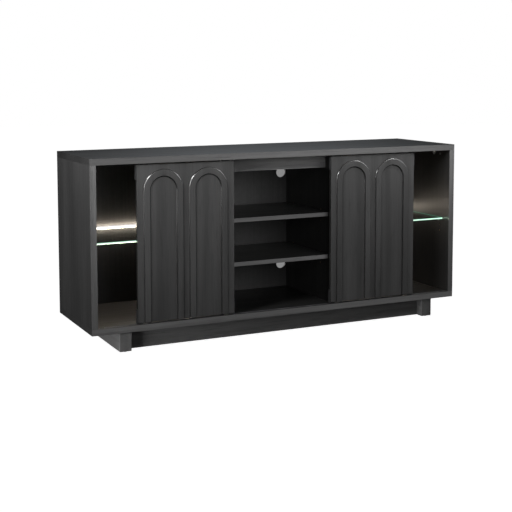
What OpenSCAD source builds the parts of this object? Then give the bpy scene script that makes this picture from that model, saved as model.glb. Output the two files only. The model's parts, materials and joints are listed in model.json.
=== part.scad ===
// Low media cabinet with two doors that roll past open bays on one track.
// Millimetres. +X to the right, +Y to the back, +Z up.
// Origin: on the floor, under the middle of the cabinet.

/* [Carcass] */
// Width over the side panels
body_w = 1473; // [1440:1:1520]
// Depth of the top, bottom and side panels
body_d = 395; // [380:1:420]
// Height from the underside of the bottom panel to the top
body_h = 599; // [590:1:640]
// Thickness of the top, bottom and side panels
panel_t = 22; // [20:1:25]
// Thickness of the dividers, the wooden shelves and the rails
board_t = 15; // [15:1:18]
// Clear width of the middle bay
middle_bay_w = 397; // [380:1:400]
// Distance of the divider fronts behind the front of the carcass
divider_setback = 25; // [24:1:30]
// Height of the rail under the top panel in the middle bay
top_rail_h = 50; // [40:1:60]
// Distance of that rail behind the front of the carcass
top_rail_setback = 65; // [60:1:75]
// Thickness of the back boards
back_t = 5; // [3:1:6]
// Distance of the back boards in front of the rear edges
back_inset = 12; // [10:1:16]
// Diameter of the cable holes in the back boards
cable_hole_d = 40; // [30:1:50]

/* [Shelves] */
// Top of the upper wooden shelf above the underside of the carcass
upper_shelf_top = 361.5; // [350:0.5:370]
// Top of the lower wooden shelf above the underside of the carcass
lower_shelf_top = 202; // [190:1:215]
// Distance of all the shelf fronts behind the front of the carcass
shelf_setback = 38; // [36:1:45]
// Thickness of the glass shelves
glass_t = 6; // [5:1:8]
// Height of the pins under the glass shelves above the underside of the carcass
glass_pin_z = 300; // [295:1:305]
// Spacing of the pin holes up the uprights
pin_pitch = 22; // [20:1:25]
// Height of the light bars
light_h = 12; // [10:1:14]

/* [Doors] */
// Width of each door
door_w = 365; // [355:1:370]
// Thickness of each door, at its raised arches
door_t = 16; // [16:1:18]
// Distance of the door fronts behind the front of the carcass
door_setback = 4; // [3:1:5]
// Gap above and below each door
door_gap = 4.5; // [4:0.5:5]
// Middle of the left door at rest
left_door_x = -387; // [-400:1:-380]
// Middle of the right door at rest
right_door_x = 372.5; // [370:0.5:380]
// Outer width of each raised arch
arch_w = 148.5; // [140:0.5:150]
// Gap between the two arches of a door
arch_gap = 20; // [16:1:22]
// Width of the raised band
arch_band = 25; // [20:1:28]
// Door edge above the top of each arch
arch_top_gap = 17.5; // [15:0.5:24]
// Height of the band above the face round it
band_rise = 3; // [2:0.5:3.5]
// Depth of the panel inside each arch below the band
panel_drop = 4; // [3:0.5:4]

/* [Base] */
// Height from the floor to the underside of the carcass
base_h = 68; // [64:1:80]
// Width of each runner seen from the front
runner_w = 42; // [36:1:46]
// Distance of the runners in from the carcass sides
runner_inset = 99; // [90:1:110]
// Distance of the runner ends behind the front of the carcass
runner_setback = 3; // [2:1:6]
// Distance of the base rails behind the front of the carcass
base_rail_setback = 36; // [34:1:40]
// Thickness of the floor glides
glide_h = 2; // [2:1:4]

/* [Hidden] */
$fn = 64;
eps = 0.5;                                  // how far a cut runs past a face

x_out = body_w / 2;                         // outer face of a side panel
x_in = x_out - panel_t;                     // inner face of a side panel
y_front = -body_d / 2;
y_rear = body_d / 2;
z_floor = base_h + panel_t;                 // top of the bottom panel
z_top = base_h + body_h;                    // top of the cabinet
z_ceiling = z_top - panel_t;                // underside of the top panel

div_in = middle_bay_w / 2;                  // divider face in the middle bay
div_out = div_in + board_t;                 // divider face in a side bay
div_x = div_in + board_t / 2;
div_front = y_front + divider_setback;

back_front = y_rear - back_inset - back_t;  // face of the back boards that the bays show
back_groove = 7;                            // depth of the groove that holds them
back_reach = 6.5;                           // how far a board goes into the groove
groove_slack = 0.4;
board_gap = 0.25;                           // half the gap between two back boards

shelf_front = y_front + shelf_setback;
shelf_rear = back_front - 4;
shelf_side_gap = 1;
glass_rear = back_front - 12;
glass_side_gap = 1.5;

pin_r = 2.5;
pin_in = 7;                                 // pin length inside an upright
pin_out = 9;                                // pin length that carries the shelf
pin_sleeve_r = 3.5;
pin_front_y = y_front + 60;
pin_rear_y = 110;
shelf_pin_front_y = y_front + 98;
shelf_pin_rear_y = 120;
glass_z = base_h + glass_pin_z + pin_sleeve_r;

light_plate_t = 2;
light_lens_t = 8;
light_end_gap = 10;
light_drop = 0.5;                            // underside of a light bar below that of the glass
light_z = glass_z - light_drop;
light_len = x_in - div_out - 2 * light_end_gap;
lead_hole_r = 5;
lead_x = div_out + light_end_gap + 12;       // where the lead of a light bar leaves

door_y = y_front + door_setback;            // front of the raised bands
door_z = z_floor + door_gap;
door_h = z_ceiling - door_gap - door_z;
slab_y = door_y + panel_drop;               // front of the plain slab
track_y = (slab_y + door_y + door_t) / 2;   // middle plane of the slab and tracks

fit_t = 8.6;                                // thickness of the corner fittings
fit_len = 50;                               // length of a fitting along the door edge
fit_depth = 27.5;                           // depth of its pocket in the door
fit_lip = 3;                                // what shows past the side of the door
fit_lip_h = 50;
fit_drop = 3;                               // what shows below the door
wheel_r = 11;
wheel_w = 4;
wheel_at = 30;                              // wheel centre from the side of the door
wheel_z = z_floor - 4 + wheel_r;
wheel_slot_r = wheel_r + 1.5;
axle_r = 1.5;
axle_clear = 0.06;

track_w = 9;
track_wall = 1.2;
track_in_w = track_w - 2 * track_wall;
low_track_h = 5.5;
high_track_h = 14;
track_len = 2 * x_in;
track_screw_xs = [-600, -300, 0, 300, 600];
track_screw_r = 1.5;
track_screw_l = 9;
stop_len = 25;                              // rubber stop in each end of the low track
tongue_w = 5;
tongue_h = 9.5;
tongue_len = 30;

cam_r = 7.5;
cam_l = 12;
cam_drop = 16;                              // cam centre below the end of its board
cam_y = 95.5;
cam_bolt_in = 7.5;                          // bolt axis behind the face with the cam
bolt_hole_r = 3.4;
bolt_thread_l = 11;
dowel_r = 4;
dowel_in_panel = 12;
dowel_in_end = 18;
side_dowel_y = 150;
div_dowel_y = 155;
long_screw_r = 2.5;
long_head_r = 5;
long_head_h = 4;
long_screw_l = 33;
plug_z = base_h + 559;

runner_x = x_out - runner_inset - runner_w / 2;
runner_in = runner_x - runner_w / 2;
runner_len = body_d - 2 * runner_setback;
rail_y = y_front + base_rail_setback + board_t / 2;
runner_screw_ys = [-120, 0, 120];
runner_screw_r = 2.1;
runner_head_r = 4;
runner_bore_r = 5;
runner_bore_z = 42;
runner_screw_l = 17;
glide_r = 10;
glide_stem_r = 2.5;
glide_stem_l = 10;
glide_ys = [-180, 0, 180];
rail_dowel_zs = [20, 50];

top_dowel_zs = [z_ceiling - 37, z_ceiling - 13];
back_screw_zs = [for (i = [0:3]) z_floor + 60 + i * 145];
cable_x = 174;                              // holes of the middle board
side_cable_x = 306;                         // holes of the side boards
cable_high_z = z_top - 117;
cable_low_z = base_h + 114;

// ---- Helpers ----------------------------------------------------------------

// A box given by its lowest and highest corners.
module box(low, high) {
    translate(low) cube(high - low);
}

// A round bar along X from x0 to x1.
module bar_x(x0, x1, y, z, r) {
    translate([min(x0, x1), y, z]) rotate([0, 90, 0]) cylinder(h = abs(x1 - x0), r = r);
}

// A round bar along Y from y0 to y1.
module bar_y(x, y0, y1, z, r) {
    translate([x, y1, z]) rotate([90, 0, 0]) cylinder(h = y1 - y0, r = r);
}

// A round bar along Z from z0 to z1.
module bar_z(x, y, z0, z1, r) {
    translate([x, y, z0]) cylinder(h = z1 - z0, r = r);
}

// Copies its children to the front and back, at +y and -y.
module both_y(y) {
    for (s = [-1, 1]) translate([0, s * y, 0]) children();
}

// The groove of the back boards, cut into a panel, between two corners in X and Z.
module back_board_groove(x0, x1, z0, z1) {
    box([x0, back_front - groove_slack / 2, z0],
        [x1, back_front + back_t + groove_slack / 2, z1]);
}

// ---- Fasteners, each used once as a solid and once as its own hole ----------

// Axes of the four uprights: inner face, direction into the board, board middle.
function upright_face(i) = [-x_in, -div_out, div_out, x_in][i];
function upright_into(i) = [-1, 1, -1, 1][i];
function upright_mid(i) = [-x_out + panel_t / 2, -div_x, div_x, x_out - panel_t / 2][i];
function upright_dowel_y(i) = [side_dowel_y, div_dowel_y, div_dowel_y, side_dowel_y][i];

module cam_bolt_holes(i) {
    x = upright_face(i) + upright_into(i) * cam_bolt_in;
    both_y(cam_y) bar_z(x, 0, z_ceiling - cam_drop - 2.5, z_ceiling + eps, bolt_hole_r);
}

module cam_pockets(i) {
    both_y(cam_y)
        bar_x(upright_face(i) - upright_into(i) * eps, upright_face(i) + upright_into(i) * cam_l,
            0, z_ceiling - cam_drop, cam_r);
}

module upright_dowels(i) {
    both_y(upright_dowel_y(i)) {
        bar_z(upright_mid(i), 0, z_ceiling - dowel_in_end, z_ceiling + dowel_in_panel, dowel_r);
        bar_z(upright_mid(i), 0, z_floor - dowel_in_panel, z_floor + dowel_in_end, dowel_r);
    }
}

module carcass_screw_pair(i) {
    both_y(cam_y) {
        bar_z(upright_mid(i), 0, base_h, base_h + long_head_h, long_head_r);
        bar_z(upright_mid(i), 0, base_h + long_head_h, z_floor + long_screw_l, long_screw_r);
    }
}

// A countersunk track screw with its head at z = 0, pointing along +Z.
module track_screw() {
    cylinder(h = track_wall + 0.3, r1 = 2 * track_screw_r, r2 = track_screw_r);
    translate([0, 0, track_wall + 0.3]) cylinder(h = track_screw_l, r = track_screw_r);
}

module low_track_screws() {
    for (x = track_screw_xs)
        translate([x, track_y, z_floor - low_track_h + track_wall]) mirror([0, 0, 1]) track_screw();
}

module high_track_screws() {
    for (x = track_screw_xs)
        translate([x, track_y, z_ceiling + high_track_h - track_wall]) track_screw_short();
}

// The top panel is thin above its track, so these screws are shorter.
module track_screw_short() {
    cylinder(h = track_wall + 0.3, r1 = 2 * track_screw_r, r2 = track_screw_r);
    translate([0, 0, track_wall + 0.3]) cylinder(h = 5, r = track_screw_r);
}

module runner_screw_set(s) {
    for (y = runner_screw_ys) {
        bar_z(s * runner_x, y, runner_bore_z - 3, runner_bore_z, runner_head_r);
        bar_z(s * runner_x, y, runner_bore_z, base_h + runner_screw_l, runner_screw_r);
    }
}

// Holes for the pins of the wooden shelves, on one face of a divider.
module shelf_pin_holes(s) {
    for (top = [upper_shelf_top, lower_shelf_top])
        for (step = [-1, 0, 1])
            for (y = [shelf_pin_front_y, shelf_pin_rear_y])
                bar_x(s * (div_in - eps), s * (div_in + pin_in), y,
                    shelf_pin_z(top) + step * pin_pitch, pin_r);
}

function shelf_pin_z(top) = base_h + top - board_t - pin_r;

// Holes for the pins of a glass shelf, on the face at x, going into the board along s.
module glass_pin_holes(x, s) {
    for (step = [-2, -1, 0])
        for (y = [pin_front_y, pin_rear_y])
            bar_x(x - s * eps, x + s * pin_in, y,
                base_h + glass_pin_z + step * pin_pitch, pin_r);
    bar_x(x - s * eps, x + s * (pin_in - 1), pin_front_y, plug_z, pin_r);
}

// ---- Carcass ----------------------------------------------------------------

module top_panel() {
    color("#4b494b") difference() {
        box([-x_out, y_front, z_ceiling], [x_out, y_rear, z_top]);
        box([-track_len / 2, track_y - track_w / 2, z_ceiling - eps],
            [track_len / 2, track_y + track_w / 2, z_ceiling + high_track_h]);
        back_board_groove(-x_in - back_groove, x_in + back_groove,
            z_ceiling - eps, z_ceiling + back_groove);
        high_track_screws();
        for (i = [0:3]) {
            upright_dowels(i);
            x = upright_face(i) + upright_into(i) * cam_bolt_in;
            both_y(cam_y) bar_z(x, 0, z_ceiling - eps, z_ceiling + bolt_thread_l, 3);
        }
    }
}

module bottom_panel() {
    color("#454345") difference() {
        box([-x_out, y_front, base_h], [x_out, y_rear, z_floor]);
        box([-track_len / 2, track_y - track_w / 2, z_floor - low_track_h],
            [track_len / 2, track_y + track_w / 2, z_floor + eps]);
        back_board_groove(-x_in - back_groove, x_in + back_groove,
            z_floor - back_groove, z_floor + eps);
        low_track_screws();
        for (i = [0:3]) {
            upright_dowels(i);
            carcass_screw_pair(i);
        }
        for (s = [-1, 1]) runner_screw_set(s);
    }
}

module side_panel(i) {
    s = upright_into(i);
    difference() {
        box([min(s * x_in, s * x_out), y_front, z_floor], [max(s * x_in, s * x_out), y_rear, z_ceiling]);
        back_board_groove(min(s * (x_in - eps), s * (x_in + back_groove)),
            max(s * (x_in - eps), s * (x_in + back_groove)), z_floor - eps, z_ceiling + eps);
        glass_pin_holes(s * x_in, s);
        cam_pockets(i);
        cam_bolt_holes(i);
        upright_dowels(i);
        carcass_screw_pair(i);
    }
}

module left_side_panel() { color("#3f3d3f") side_panel(0); }

module right_side_panel() { color("#3f3d3f") side_panel(3); }

module divider(i) {
    s = sign(upright_face(i));
    difference() {
        box([min(s * div_in, s * div_out), div_front, z_floor],
            [max(s * div_in, s * div_out), back_front, z_ceiling]);
        shelf_pin_holes(s);
        glass_pin_holes(s * div_out, -s);
        cam_pockets(i);
        cam_bolt_holes(i);
        upright_dowels(i);
        carcass_screw_pair(i);
        top_rail_dowels(s);
        back_screw_set(s);
    }
}

module left_divider() { color("#3a383a") divider(1); }

module right_divider() { color("#3a383a") divider(2); }

module top_rail_dowels(s) {
    y = y_front + top_rail_setback + board_t / 2;
    for (z = top_dowel_zs)
        bar_x(s * (div_in - 22), s * (div_in + 8), y, z, dowel_r);
}

module centre_top_rail() {
    y = y_front + top_rail_setback;
    color("#454345") difference() {
        box([-div_in, y, z_ceiling - top_rail_h], [div_in, y + board_t, z_ceiling]);
        for (s = [-1, 1]) top_rail_dowels(s);
    }
}

// ---- Back boards ------------------------------------------------------------

module back_screw_set(s) {
    for (z = back_screw_zs) {
        bar_y(s * div_x, back_front - 14, back_front + back_t, z, 1.6);
        bar_y(s * div_x, back_front + back_t, back_front + back_t + 1.8, z, 5);
    }
}

module back_board(x0, x1, holes) {
    difference() {
        box([x0, back_front, z_floor - back_reach], [x1, back_front + back_t, z_ceiling + back_reach]);
        for (h = holes)
            bar_y(h[0], back_front - eps, back_front + back_t + eps, h[1], h[2]);
        for (s = [-1, 1]) back_screw_set(s);
    }
}

module left_back_board() {
    color("#2b2a2c") back_board(-x_in - back_reach, -div_x - board_gap,
        [[-side_cable_x, cable_low_z, cable_hole_d / 2],
         [-lead_x, light_z + light_h / 2, lead_hole_r]]);
}

module centre_back_board() {
    color("#2b2a2c") back_board(-div_x + board_gap, div_x - board_gap,
        [for (x = [-cable_x, cable_x]) for (z = [cable_low_z, cable_high_z]) [x, z, cable_hole_d / 2]]);
}

module right_back_board() {
    color("#2b2a2c") back_board(div_x + board_gap, x_in + back_reach,
        [[side_cable_x, cable_low_z, cable_hole_d / 2],
         [lead_x, light_z + light_h / 2, lead_hole_r]]);
}

module back_board_screws() {
    color("silver") for (s = [-1, 1]) back_screw_set(s);
}

// ---- Shelves and lights -----------------------------------------------------

module wooden_shelf(top) {
    box([-div_in + shelf_side_gap, shelf_front, base_h + top - board_t],
        [div_in - shelf_side_gap, shelf_rear, base_h + top]);
}

module upper_shelf() { color("#4b494b") wooden_shelf(upper_shelf_top); }

module lower_shelf() { color("#4b494b") wooden_shelf(lower_shelf_top); }

module glass_shelf(s) {
    x0 = s * (div_out + glass_side_gap);
    x1 = s * (x_in - glass_side_gap);
    box([min(x0, x1), shelf_front, glass_z], [max(x0, x1), glass_rear, glass_z + glass_t]);
}

module left_glass_shelf() { color("#bfe3cf", 0.4) glass_shelf(-1); }

module right_glass_shelf() { color("#bfe3cf", 0.4) glass_shelf(1); }

// Backing plate with an outlet for its lead and an end cap at each end of the lens.
module light_bar(s) {
    mid = s * (div_out + x_in) / 2;
    y = back_front - light_plate_t;
    difference() {
        box([mid - light_len / 2, y, light_z], [mid + light_len / 2, back_front, light_z + light_h]);
        bar_y(s * lead_x, y - eps, back_front + eps, light_z + light_h / 2, lead_hole_r / 2);
    }
    for (e = [-1, 1]) {
        x = mid + e * (light_len / 2 - 1);
        box([x - 1, y - light_lens_t, light_z], [x + 1, y, light_z + light_h]);
    }
}

module left_light_bar() { color("#9a9a9a") light_bar(-1); }

module right_light_bar() { color("#9a9a9a") light_bar(1); }

// Half-round lens over the row of lamps.
module light_lens(s) {
    mid = s * (div_out + x_in) / 2;
    lens_len = light_len - 4;
    lens_r = light_h / 2 - 0.5;
    translate([mid - lens_len / 2, back_front - light_plate_t, light_z + light_h / 2])
        rotate([90, 0, 90]) linear_extrude(height = lens_len)
            intersection() {
                translate([-light_lens_t, -lens_r]) square([light_lens_t, 2 * lens_r]);
                union() {
                    translate([-light_lens_t + lens_r, 0]) circle(r = lens_r);
                    translate([-light_lens_t + lens_r, -lens_r]) square([light_lens_t - lens_r, 2 * lens_r]);
                }
            }
}

module left_light_lens() { color("#fff1dc") light_lens(-1); }

module right_light_lens() { color("#fff1dc") light_lens(1); }

module shelf_pins() {
    color("silver") for (s = [-1, 1])
        for (top = [upper_shelf_top, lower_shelf_top])
            for (y = [shelf_pin_front_y, shelf_pin_rear_y])
                bar_x(s * (div_in - pin_out), s * (div_in + pin_in), y, shelf_pin_z(top), pin_r);
}

// Ends of the four pins of one glass shelf: wall face and direction into the wall.
function glass_walls(s) = [[s * x_in, s], [s * div_out, -s]];

module glass_shelf_pins() {
    color("silver") for (side = [-1, 1])
        for (w = glass_walls(side))
            for (y = [pin_front_y, pin_rear_y])
                bar_x(w[0] - w[1] * pin_out, w[0] + w[1] * pin_in, y, base_h + glass_pin_z, pin_r);
}

module glass_pin_sleeves() {
    color("#e8e8e8") for (side = [-1, 1])
        for (w = glass_walls(side))
            for (y = [pin_front_y, pin_rear_y])
                difference() {
                    bar_x(w[0] - w[1] * pin_out, w[0] - w[1] * 1, y, base_h + glass_pin_z, pin_sleeve_r);
                    bar_x(w[0] - w[1] * (pin_out + eps), w[0], y, base_h + glass_pin_z, pin_r);
                }
}

// ---- Tracks -----------------------------------------------------------------

module bottom_track() {
    z = z_floor - low_track_h;
    color("#77787a") difference() {
        box([-track_len / 2, track_y - track_w / 2, z], [track_len / 2, track_y + track_w / 2, z_floor]);
        box([-track_len / 2 - eps, track_y - track_in_w / 2, z + track_wall],
            [track_len / 2 + eps, track_y + track_in_w / 2, z_floor + eps]);
        low_track_screws();
    }
}

module top_track() {
    z = z_ceiling + high_track_h;
    color("#77787a") difference() {
        box([-track_len / 2, track_y - track_w / 2, z_ceiling], [track_len / 2, track_y + track_w / 2, z]);
        box([-track_len / 2 - eps, track_y - track_in_w / 2, z_ceiling - eps],
            [track_len / 2 + eps, track_y + track_in_w / 2, z - track_wall]);
        high_track_screws();
    }
}

module track_screws() {
    color("silver") {
        low_track_screws();
        high_track_screws();
    }
}

module track_end_stops() {
    z = z_floor - low_track_h + track_wall;
    color("#1c1c1c") for (s = [-1, 1])
        box([min(s * x_in, s * (x_in - stop_len)), track_y - track_in_w / 2, z],
            [max(s * x_in, s * (x_in - stop_len)), track_y + track_in_w / 2, z_floor - 0.3]);
}

// ---- Base -------------------------------------------------------------------

module base_dowels(s) {
    for (y = [-1, 1])
        for (z = rail_dowel_zs)
            bar_x(s * (runner_in - 15), s * (runner_in + 15), y * rail_y, z, dowel_r);
}

module glide_stems() {
    for (s = [-1, 1])
        for (y = glide_ys) bar_z(s * runner_x, y, glide_h, glide_h + glide_stem_l, glide_stem_r);
}

module base_runner(s) {
    difference() {
        box([s * runner_x - runner_w / 2, -runner_len / 2, glide_h],
            [s * runner_x + runner_w / 2, runner_len / 2, base_h]);
        for (y = runner_screw_ys)
            bar_z(s * runner_x, y, glide_h - eps, runner_bore_z, runner_bore_r);
        runner_screw_set(s);
        base_dowels(s);
        glide_stems();
    }
}

module left_base_runner() { color("#3f3d3f") base_runner(-1); }

module right_base_runner() { color("#3f3d3f") base_runner(1); }

module base_rail(y) {
    difference() {
        box([-runner_in, y - board_t / 2, glide_h], [runner_in, y + board_t / 2, base_h]);
        for (s = [-1, 1]) base_dowels(s);
    }
}

module front_base_rail() { color("#353435") base_rail(rail_y); }

module rear_base_rail() { color("#353435") base_rail(-rail_y); }

module floor_glides() {
    color("#202020") {
        for (s = [-1, 1])
            for (y = glide_ys) bar_z(s * runner_x, y, 0, glide_h, glide_r);
        glide_stems();
    }
}

module base_screws() {
    color("silver") for (s = [-1, 1]) runner_screw_set(s);
}

// ---- Joinery ----------------------------------------------------------------

module carcass_screws() {
    color("silver") for (i = [0:3]) carcass_screw_pair(i);
}

module cam_locks() {
    color("#b9b9bb") for (i = [0:3]) {
        s = upright_into(i);
        face = upright_face(i);
        z = z_ceiling - cam_drop;
        both_y(cam_y) difference() {
            bar_x(face, face + s * cam_l, 0, z, cam_r);
            bar_z(face + s * cam_bolt_in, 0, z - 2.5, z + cam_r + eps, bolt_hole_r);
            for (a = [0, 90]) translate([face, 0, z]) rotate([a, 0, 0]) cube([4, 1.4, 8], center = true);
        }
    }
}

module cam_bolts() {
    color("silver") for (i = [0:3]) {
        x = upright_face(i) + upright_into(i) * cam_bolt_in;
        both_y(cam_y) {
            bar_z(x, 0, z_ceiling, z_ceiling + bolt_thread_l, 3);
            bar_z(x, 0, z_ceiling - 13, z_ceiling, 2.2);
            bar_z(x, 0, z_ceiling - 18, z_ceiling - 13, 3.2);
        }
    }
}

module dowels() {
    color("#c8a878") {
        for (i = [0:3]) upright_dowels(i);
        for (s = [-1, 1]) {
            top_rail_dowels(s);
            base_dowels(s);
        }
    }
}

module hole_plugs() {
    color("#b0aeb0") for (side = [-1, 1])
        for (w = glass_walls(side)) {
            bar_x(w[0] - w[1] * 1.2, w[0], pin_front_y, plug_z, 4);
            bar_x(w[0], w[0] + w[1] * (pin_in - 1), pin_front_y, plug_z, pin_r);
        }
}

// ---- Doors ------------------------------------------------------------------

// Outline of an arch that stands on the door's bottom edge, or runs past it by below.
module arch(width, top, below = 0) {
    translate([-width / 2, -below]) square([width, top - width / 2 + below]);
    translate([0, top - width / 2]) circle(d = width);
}

// Puts its child, drawn in X and Z, in both arch places of a door.
module in_both_arches() {
    for (s = [-1, 1]) translate([s * (arch_w + arch_gap) / 2, 0]) children();
}

// Extrudes a front view from y0 to y1 at the door's height.
module door_layer(x, y0, y1) {
    translate([x, y1, door_z]) rotate([90, 0, 0]) linear_extrude(height = y1 - y0) children();
}

module corner_pockets(x, z0, z1) {
    for (s = [-1, 1]) {
        edge = x + s * door_w / 2;
        box([min(edge + s * eps, edge - s * fit_len), track_y - fit_t / 2, z0],
            [max(edge + s * eps, edge - s * fit_len), track_y + fit_t / 2, z1]);
    }
}

module door(x) {
    arch_top = door_h - arch_top_gap;
    difference() {
        union() {
            door_layer(x, door_y + band_rise, door_y + door_t)
                translate([-door_w / 2, 0]) square([door_w, door_h]);
            door_layer(x, door_y, door_y + band_rise) in_both_arches() arch(arch_w, arch_top);
        }
        door_layer(x, door_y - eps, slab_y)
            in_both_arches() arch(arch_w - 2 * arch_band, arch_top - arch_band, eps);
        corner_pockets(x, door_z - eps, door_z + fit_depth);
        corner_pockets(x, door_z + door_h - fit_depth, door_z + door_h + eps);
    }
}

module left_door() { color("#3c3b3d") door(left_door_x); }

module right_door() { color("#3c3b3d") door(right_door_x); }

// Wheel centre of a door, on its left (s = -1) or right (s = 1).
function wheel_x(x, s) = x + s * (door_w / 2 - wheel_at);

module wheel_housings(x) {
    for (s = [-1, 1]) {
        edge = x + s * door_w / 2;
        low = door_z - fit_drop;
        difference() {
            union() {
                box([min(edge, edge - s * fit_len), track_y - fit_t / 2, low],
                    [max(edge, edge - s * fit_len), track_y + fit_t / 2, door_z + fit_depth]);
                box([min(edge, edge + s * fit_lip), track_y - fit_t / 2, low],
                    [max(edge, edge + s * fit_lip), track_y + fit_t / 2, low + fit_lip_h]);
            }
            translate([wheel_x(x, s) - wheel_slot_r, track_y - wheel_w / 2 - 0.6, low - eps])
                cube([2 * wheel_slot_r, wheel_w + 1.2, wheel_z + wheel_slot_r - low + eps]);
            bar_y(wheel_x(x, s), track_y - fit_t, track_y + fit_t, wheel_z, axle_r);
        }
    }
}

module left_door_wheel_housings() { color("#1d1d1f") wheel_housings(left_door_x); }

module right_door_wheel_housings() { color("#1d1d1f") wheel_housings(right_door_x); }

module axles(x) {
    for (s = [-1, 1])
        bar_y(wheel_x(x, s), track_y - fit_t / 2, track_y + fit_t / 2, wheel_z, axle_r);
}

module left_door_axles() { color("silver") axles(left_door_x); }

module right_door_axles() { color("silver") axles(right_door_x); }

module top_guides(x) {
    high = door_z + door_h;
    for (s = [-1, 1]) {
        edge = x + s * door_w / 2;
        box([min(edge, edge - s * fit_len), track_y - fit_t / 2, high - fit_depth],
            [max(edge, edge - s * fit_len), track_y + fit_t / 2, high]);
        box([min(edge, edge + s * fit_lip), track_y - fit_t / 2, high - fit_lip_h],
            [max(edge, edge + s * fit_lip), track_y + fit_t / 2, high]);
        translate([wheel_x(x, s) - tongue_len / 2, track_y - tongue_w / 2, high])
            cube([tongue_len, tongue_w, tongue_h]);
    }
}

module left_door_top_guides() { color("#1d1d1f") top_guides(left_door_x); }

module right_door_top_guides() { color("#1d1d1f") top_guides(right_door_x); }

// A door wheel with a small hub on each side.
module wheel(x, s) {
    color("#d8d6d0") difference() {
        union() {
            bar_y(wheel_x(x, s), track_y - wheel_w / 2, track_y + wheel_w / 2, wheel_z, wheel_r);
            bar_y(wheel_x(x, s), track_y - wheel_w / 2 - 0.3, track_y + wheel_w / 2 + 0.3, wheel_z, 3.5);
        }
        bar_y(wheel_x(x, s), track_y - wheel_w, track_y + wheel_w, wheel_z, axle_r + axle_clear);
    }
}

module left_door_wheel_a() { wheel(left_door_x, -1); }

module left_door_wheel_b() { wheel(left_door_x, 1); }

module right_door_wheel_a() { wheel(right_door_x, -1); }

module right_door_wheel_b() { wheel(right_door_x, 1); }

top_panel();
bottom_panel();
left_side_panel();
right_side_panel();
left_divider();
right_divider();
centre_top_rail();
left_back_board();
centre_back_board();
right_back_board();
upper_shelf();
lower_shelf();
left_glass_shelf();
right_glass_shelf();
left_light_bar();
right_light_bar();
left_light_lens();
right_light_lens();
shelf_pins();
glass_shelf_pins();
glass_pin_sleeves();
bottom_track();
top_track();
track_screws();
track_end_stops();
left_base_runner();
right_base_runner();
front_base_rail();
rear_base_rail();
floor_glides();
base_screws();
carcass_screws();
cam_locks();
cam_bolts();
dowels();
hole_plugs();
back_board_screws();
left_door();
left_door_wheel_housings();
left_door_axles();
left_door_top_guides();
left_door_wheel_a();
left_door_wheel_b();
right_door();
right_door_wheel_housings();
right_door_axles();
right_door_top_guides();
right_door_wheel_a();
right_door_wheel_b();
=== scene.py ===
import json
import math

import bmesh
import bpy
from mathutils import Matrix, Vector

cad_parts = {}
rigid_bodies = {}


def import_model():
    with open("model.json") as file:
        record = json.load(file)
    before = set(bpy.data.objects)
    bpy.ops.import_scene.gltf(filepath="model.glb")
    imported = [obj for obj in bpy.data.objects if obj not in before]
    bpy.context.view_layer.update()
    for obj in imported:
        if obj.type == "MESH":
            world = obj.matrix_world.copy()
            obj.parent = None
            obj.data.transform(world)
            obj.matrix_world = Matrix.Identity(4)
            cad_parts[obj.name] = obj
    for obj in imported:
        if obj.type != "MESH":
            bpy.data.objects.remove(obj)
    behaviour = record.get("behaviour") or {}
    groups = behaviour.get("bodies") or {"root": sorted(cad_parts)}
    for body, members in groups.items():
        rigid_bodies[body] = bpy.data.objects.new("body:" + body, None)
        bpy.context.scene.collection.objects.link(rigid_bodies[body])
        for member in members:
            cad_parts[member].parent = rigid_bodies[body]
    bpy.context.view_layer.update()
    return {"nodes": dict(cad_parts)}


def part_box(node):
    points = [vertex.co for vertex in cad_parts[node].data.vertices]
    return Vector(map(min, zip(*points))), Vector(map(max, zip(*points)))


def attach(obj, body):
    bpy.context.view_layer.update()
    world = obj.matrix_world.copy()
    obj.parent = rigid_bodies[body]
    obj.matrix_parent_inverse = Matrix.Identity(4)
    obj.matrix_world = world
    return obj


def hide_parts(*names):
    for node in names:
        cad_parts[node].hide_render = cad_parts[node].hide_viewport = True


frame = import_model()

X_AXIS, Y_AXIS, Z_AXIS = 0, 1, 2
SIDES = ("left", "right")


# ---------------------------------------------------------------- node trees

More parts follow.
